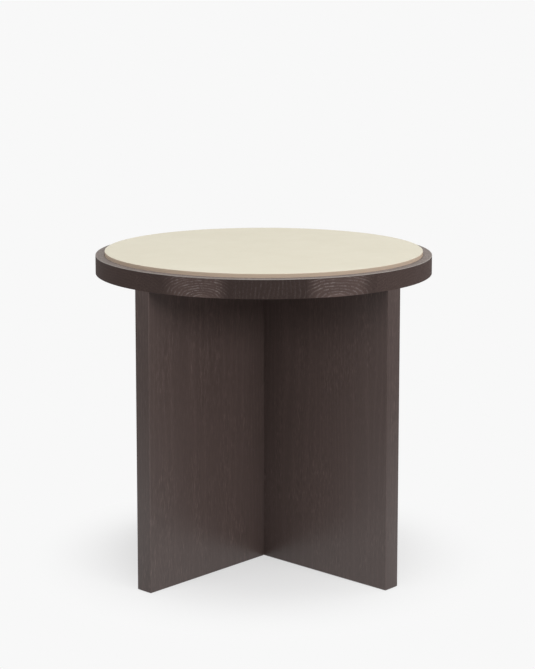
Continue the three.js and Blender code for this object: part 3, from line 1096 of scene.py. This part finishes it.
def fluted_dowel():
    """A beech dowel with chamfered ends and glue flutes, standing on z = 0 at the origin."""
    radius = DOWEL[1].y
    length = DOWEL[1].z - DOWEL[0].z
    chamfer = 1 * MM
    flute_depth = 0.35 * MM
    steps = 72
    steps_per_flute = 3
    bm = turned([
        (radius - chamfer, 0),
        (radius, chamfer),
        (radius, length - chamfer),
        (radius - chamfer, length),
    ], steps)
    for vertex in bm.verts:
        step = round(math.atan2(vertex.co.y, vertex.co.x) / FULL_TURN * steps)
        if step % steps_per_flute == 0:
            vertex.co.xy *= 1 - flute_depth / radius
    return bm


def ribbed_glide():
    """A nylon glide with a ribbed stem and a shallow dish in its foot. z = 0 is the face on the floor."""
    radius = GLIDE[1].y
    top = GLIDE[1].z - GLIDE[0].z
    edge = 0.6 * MM
    edge_share = 0.3
    dish_start = 2 * MM
    dish_end = 2.4 * MM
    dish_depth = 0.15 * MM
    ribs = 4
    barb = 0.35 * MM
    barb_rise = 0.2 * MM
    barb_share = 0.8
    plain_end = 1.5 * MM
    neck = GLIDE_STEM_RADIUS - barb
    pitch = (top - GLIDE_THICKNESS - 2 * plain_end) / ribs
    points = [
        (radius - dish_end, dish_depth),
        (radius - dish_start, 0),
        (radius - edge, 0),
        (radius - edge * edge_share, edge * edge_share),
        (radius, edge),
        (radius, GLIDE_THICKNESS),
        (neck, GLIDE_THICKNESS),
    ]
    for rib in range(ribs):
        low = GLIDE_THICKNESS + plain_end + rib * pitch
        points += [(neck, low), (GLIDE_STEM_RADIUS, low + barb_rise), (neck, low + pitch * barb_share)]
    points.append((GLIDE_STEM_RADIUS - plain_end, top))
    return turned(points, steps=64)


def bracket_hole(travel):
    """A round or slotted hole's tool through z = 0, drawn out along Y."""
    tool = rod(BRACKET_HOLE_RADIUS, -OVERRUN, OVERRUN)
    for vertex in tool.verts:
        vertex.co.y += math.copysign(travel / 2, vertex.co.y)
    return tool


def bent_bracket():
    """An angle bracket bent from flat steel, in the arm's frame."""
    low, high = BRACKET
    inner_y = low.y + BRACKET_GAUGE
    inner_z = high.z - BRACKET_GAUGE
    outline = [
        (low.y, high.z),
        (high.y, high.z),
        (high.y, inner_z),
        (inner_y, inner_z),
        (inner_y, low.z),
        (low.y, low.z),
    ]
    bm = bmesh.new()
    bm.faces.new([bm.verts.new((low.x, y, z)) for y, z in outline])
    raise_faces(bm, (high.x - low.x, 0, 0))

    def along_bend(y, z):
        """The edges along one line of the bend."""
        def on_line(point):
            return abs(point.y - y) < SAME_PLACE and abs(point.z - z) < SAME_PLACE
        return [edge for edge in bm.edges if both_ends(edge, on_line)]

    ease(bm, along_bend(inner_y, inner_z), BRACKET_BEND, steps=8)
    ease(bm, along_bend(low.y, high.z), BRACKET_BEND + BRACKET_GAUGE, steps=8)

    def through_gauge(edge):
        """Whether an edge runs through the steel at a corner of a free end."""
        span = edge.verts[0].co - edge.verts[1].co
        free_end = any(vertex.co.y > high.y - MM or vertex.co.z < low.z + MM for vertex in edge.verts)
        return free_end and abs(span.x) < SAME_PLACE and abs(span.length - BRACKET_GAUGE) < SAME_PLACE

    ease(bm, [edge for edge in bm.edges if through_gauge(edge)], BRACKET_CORNER, steps=8)
    ease(bm, creases(bm), BRACKET_ARRIS, steps=2)

    tools = []
    for box in TOP_SCREWS:
        place = Matrix.Translation((centre(box).x, centre(box).y, high.z))
        tools.append(moved(bracket_hole(BRACKET_SLOT_TRAVEL), place))
    for box in SIDE_SCREWS:
        place = Matrix.Translation((centre(box).x, low.y, centre(box).z))
        tools.append(moved(bracket_hole(0), place @ Matrix.Rotation(QUARTER_TURN, 4, "X")))
    return carve(bm, joined(*tools))


def cross_recess():
    """The tapered cross of a screwdriver in the head of a screw, as two crossing wedges."""
    reach = 2.2 * MM
    half_width = 0.5 * MM
    depth_share = 0.62
    reach_share = 0.5
    width_share = 0.7
    low = -SCREW_HEAD_HEIGHT - MM
    high = -SCREW_HEAD_HEIGHT + SCREW_HEAD_HEIGHT * depth_share
    wedges = []
    for turn in (0, QUARTER_TURN):
        wedge = block((-reach, -half_width, low), (reach, half_width, high))
        for vertex in wedge.verts:
            if vertex.co.z > -SCREW_HEAD_HEIGHT:
                vertex.co.x *= reach_share
                vertex.co.y *= width_share
        wedges.append(moved(wedge, Matrix.Rotation(turn, 4, "Z")))
    return wedges


def screw_thread(low, high):
    """A helical ridge round the shank, as one closed body from low to high along Z."""
    pitch = 1.35 * MM
    crest = 1.8 * MM
    root = SCREW_SHANK_RADIUS - 0.15 * MM
    crest_share = 0.22
    steps_per_turn = 16
    points = [(root, low), (crest, low + pitch * crest_share), (root, low + pitch * crest_share * 2)]
    turns = (high - low) / pitch
    steps = int(turns * steps_per_turn)
    bm = bmesh.new()
    bm.faces.new([bm.verts.new((radius, 0, height)) for radius, height in points])
    bmesh.ops.spin(
        bm, geom=bm.faces[:] + bm.edges[:] + bm.verts[:], cent=(0, 0, 0), axis=(0, 0, 1),
        dvec=(0, 0, (high - low) / steps), angle=FULL_TURN * turns, steps=steps, use_duplicate=False,
    )
    bmesh.ops.recalc_face_normals(bm, faces=bm.faces)
    return bm


# The crown of a screw's head from its middle to its rim, in shares of its radius and height
CROWN_SHARES = ((0.12, 1.0), (0.45, 0.99), (0.72, 0.93), (0.88, 0.8), (0.96, 0.62), (1.0, 0.38), (1.0, 0.0))


def pan_head_screw():
    """A pan head screw with a cross recess. z = 0 is the underside of its head, and its point is up."""
    head = TOP_SCREWS[0][1].y - centre(TOP_SCREWS[0]).y
    tip = 0.2 * MM
    thread_start = 1.5 * MM
    shank_end = SCREW_LENGTH - SCREW_POINT_LENGTH
    crown = [(head * out, -SCREW_HEAD_HEIGHT * up) for out, up in CROWN_SHARES]
    shank = [(SCREW_SHANK_RADIUS, 0), (SCREW_SHANK_RADIUS, shank_end), (tip, SCREW_LENGTH)]
    body = turned(crown + shank, steps=40)
    for wedge in cross_recess():
        body = carve(body, wedge)
    return joined(body, screw_thread(thread_start, shank_end))


def add_to_arms(make, place, finish, material, node):
    """Adds a piece to each arm, at its place in the arm's frame, for the nodes of one name."""
    for arm in range(ARM_COUNT):
        name = f"{node}_{arm + 1}"
        add_piece(f"{finish}_{name}", moved(make(), arm_matrix(arm) @ place), material, name)


class SIDETABLE_OT_drive_dowels(bpy.types.Operator):
    """Makes the four dowels between the panels and the top"""
    bl_idname = "sidetable.drive_dowels"
    bl_label = "Drive the dowels"

    def execute(self, context):
        material = raw_beech(context.scene.side_table_finish)
        place = Matrix.Translation((centre(DOWEL).x, 0, DOWEL[0].z))
        add_to_arms(fluted_dowel, place, "beech", material, "dowel")
        return {"FINISHED"}


class SIDETABLE_OT_fit_glides(bpy.types.Operator):
    """Makes the four glides under the tips of the panels"""
    bl_idname = "sidetable.fit_glides"
    bl_label = "Fit the glides"

    def execute(self, context):
        material = moulded_nylon(context.scene.side_table_finish)
        place = Matrix.Translation((centre(GLIDE).x, 0, GLIDE[0].z))
        add_to_arms(ribbed_glide, place, "nylon", material, "glide")
        return {"FINISHED"}


class SIDETABLE_OT_fit_brackets(bpy.types.Operator):
    """Makes the four angle brackets under the top"""
    bl_idname = "sidetable.fit_brackets"
    bl_label = "Fit the brackets"

    def execute(self, context):
        material = powder_coat(context.scene.side_table_finish)
        add_to_arms(bent_bracket, Matrix.Identity(4), "steel", material, "angle_bracket")
        return {"FINISHED"}


class SIDETABLE_OT_drive_screws(bpy.types.Operator):
    """Makes the sixteen screws of the brackets"""
    bl_idname = "sidetable.drive_screws"
    bl_label = "Drive the screws"

    def execute(self, context):
        material = zinc_plate(context.scene.side_table_finish)
        screw = pan_head_screw()
        kinds = (("top", TOP_SCREWS, top_screw_place), ("side", SIDE_SCREWS, side_screw_place))
        for arm in range(ARM_COUNT):
            for kind, boxes, placing in kinds:
                for number, box in enumerate(boxes, 1):
                    node = f"bracket_{arm + 1}_{kind}_screw_{number}"
                    one = moved(screw.copy(), arm_matrix(arm) @ placing(box))
                    add_piece(f"zinc_{node}", one, material, node)
        screw.free()
        return {"FINISHED"}


# Studio: angles of the camera in radians, and its sensor in millimetres

CAMERA_PLACE = Vector((-0.1047, -2.87264, 0.9336))
CAMERA_PITCH = 0.13667
CAMERA_PAN = 0.03512
CAMERA_SHIFT = (0.0091, -0.15)
CAMERA_SENSOR = 36.0
FLOOR_RADIUS = 40.0
SOFTBOX_AIM = Vector((0, 0, 0.25))

# Between these distances from the middle, the floor's shadow fades into the plain background
SHADOW_FADE = (0.14, 0.4)

# Where each softbox stands, seen from the point that it faces. The azimuth runs from the front to the right.
# It and the height are in degrees.
SOFTBOXES = {
    "key": {"azimuth": 42, "height": 21.5, "distance": 3.0, "width": 1.2, "tall": 0.7},
    "key_side": {"azimuth": 98, "height": 21, "distance": 3.0, "width": 1.4, "tall": 1.2},
    "fill": {"azimuth": -56, "height": 21.5, "distance": 3.0, "width": 1.2, "tall": 0.7},
    "front": {"azimuth": 0, "height": 34, "distance": 3.0, "width": 1.4, "tall": 1.2},
    "top_front": {"azimuth": 0, "height": 62, "distance": 2.8, "width": 2.0, "tall": 1.2},
    "top_back": {"azimuth": 180, "height": 62, "distance": 2.8, "width": 2.0, "tall": 1.2},
    "back_left": {"azimuth": -130, "height": 28, "distance": 3.0, "width": 2.0, "tall": 1.2},
    "back_right": {"azimuth": 130, "height": 28, "distance": 3.0, "width": 2.0, "tall": 1.2},
}


def seen_directly(nodes):
    """1 for rays from the camera and for mirror and glass rays, 0 for light that falls on the object."""
    kinds = ("Is Camera Ray", "Is Glossy Ray", "Is Transmission Ray")
    camera, glossy, through = [nodes.node("ShaderNodeLightPath", output=kind) for kind in kinds]
    return camera.at_least(glossy).at_least(through)


class SIDETABLE_OT_light_stage(bpy.types.Operator):
    """Makes the pale floor, the soft light and the camera"""
    bl_idname = "sidetable.light_stage"
    bl_label = "Light the stage"

    def execute(self, context):
        studio = context.scene.side_table_studio
        self.lay_floor(studio)
        self.hang_dome(studio)
        for name, box in SOFTBOXES.items():
            self.hang_softbox(name, box, getattr(studio, name))
        self.set_camera(studio)
        return {"FINISHED"}

    def lay_floor(self, studio):
        """A floor that keeps the table's shadow nearby and runs out into the plain background."""
        bm = bmesh.new()
        bmesh.ops.create_circle(bm, cap_ends=True, segments=96, radius=FLOOR_RADIUS)
        floor = link_mesh("studio_floor", bm)
        paint = Finish("studio_floor")
        x, y, _ = paint.split(paint.placed())
        far = (x * x + y * y).root().rising(*SHADOW_FADE)
        share = seen_directly(paint) * far.lifted(studio.shadow_lift)
        lit = paint.node("ShaderNodeBsdfDiffuse", None, {"Color": grey(studio.floor_tone)})
        values = {"Color": grey(studio.background), "Strength": 1.0}
        plain = paint.node("ShaderNodeEmission", None, values)
        paint.end_in(paint.node("ShaderNodeMixShader", None, {0: share, 1: lit, 2: plain}))
        floor.data.materials.append(paint.material)

    def hang_dome(self, studio):
        """A soft dome that lights the table, behind a plain background."""
        world = bpy.data.worlds.new("studio_dome")
        bpy.context.scene.world = world
        sky = Nodes(world)
        values = {"Color": grey(1.0), "Strength": studio.dome}
        dome = sky.node("ShaderNodeBackground", None, values)
        values = {"Color": grey(studio.background), "Strength": 1.0}
        plain = sky.node("ShaderNodeBackground", None, values)
        both = sky.node("ShaderNodeMixShader", None, {0: seen_directly(sky), 1: dome, 2: plain})
        sky.end_in(both, "ShaderNodeOutputWorld")

    def hang_softbox(self, name, box, brightness):
        """A broad soft lamp that faces the table."""
        lamp = bpy.data.lights.new(f"softbox_{name}", "AREA")
        lamp.shape = "RECTANGLE"
        lamp.size = box["width"]
        lamp.size_y = box["tall"]
        lamp.energy = brightness * math.pi * box["width"] * box["tall"]
        height = math.radians(box["height"])
        azimuth = math.radians(box["azimuth"])
        level = math.cos(height)
        away = Vector((math.sin(azimuth) * level, -math.cos(azimuth) * level, math.sin(height)))
        softbox = bpy.data.objects.new(lamp.name, lamp)
        softbox.location = SOFTBOX_AIM + away * box["distance"]
        softbox.rotation_euler = away.to_track_quat("Z", "Y").to_euler()
        softbox.visible_camera = False
        bpy.context.scene.collection.objects.link(softbox)

    def set_camera(self, studio):
        lens = bpy.data.cameras.new("studio_camera")
        lens.sensor_width = CAMERA_SENSOR
        lens.lens = studio.lens
        lens.shift_x, lens.shift_y = CAMERA_SHIFT
        camera = bpy.data.objects.new("studio_camera", lens)
        camera.location = CAMERA_PLACE
        camera.rotation_euler = (QUARTER_TURN - CAMERA_PITCH, 0, -CAMERA_PAN)
        scene = bpy.context.scene
        scene.collection.objects.link(camera)
        scene.camera = camera
        scene.view_settings.view_transform = "Standard"


class SIDETABLE_PT_panel(bpy.types.Panel):
    """Lists the steps and settings of the side table"""
    bl_idname = "SIDETABLE_PT_panel"
    bl_label = "Side Table"
    bl_space_type = "VIEW_3D"
    bl_region_type = "UI"
    bl_category = "Side Table"

    def draw(self, context):
        for step in STEPS:
            self.layout.operator(step.bl_idname)
        for name in GROUPS:
            group = getattr(context.scene, name)
            box = self.layout.box()
            for setting in group.__annotations__:
                box.prop(group, setting)


STEPS = (
    SIDETABLE_OT_light_stage,
    SIDETABLE_OT_cross_panels,
    SIDETABLE_OT_glue_up_top,
    SIDETABLE_OT_bed_disc,
    SIDETABLE_OT_drive_dowels,
    SIDETABLE_OT_fit_brackets,
    SIDETABLE_OT_drive_screws,
    SIDETABLE_OT_fit_glides,
)
GROUPS = {
    "side_table_shape": SideTableShape,
    "side_table_finish": SideTableFinish,
    "side_table_studio": SideTableStudio,
}


CLASSES = (*GROUPS.values(), *STEPS, SIDETABLE_PT_panel)


def register():
    for kind in CLASSES:
        bpy.utils.register_class(kind)
    for name, group in GROUPS.items():
        setattr(bpy.types.Scene, name, PointerProperty(type=group))


def unregister():
    for name in GROUPS:
        delattr(bpy.types.Scene, name)
    for kind in reversed(CLASSES):
        bpy.utils.unregister_class(kind)


def main():
    register()
    for step in STEPS:
        family, name = step.bl_idname.split(".")
        getattr(getattr(bpy.ops, family), name)()


if __name__ == "__main__":
    main()
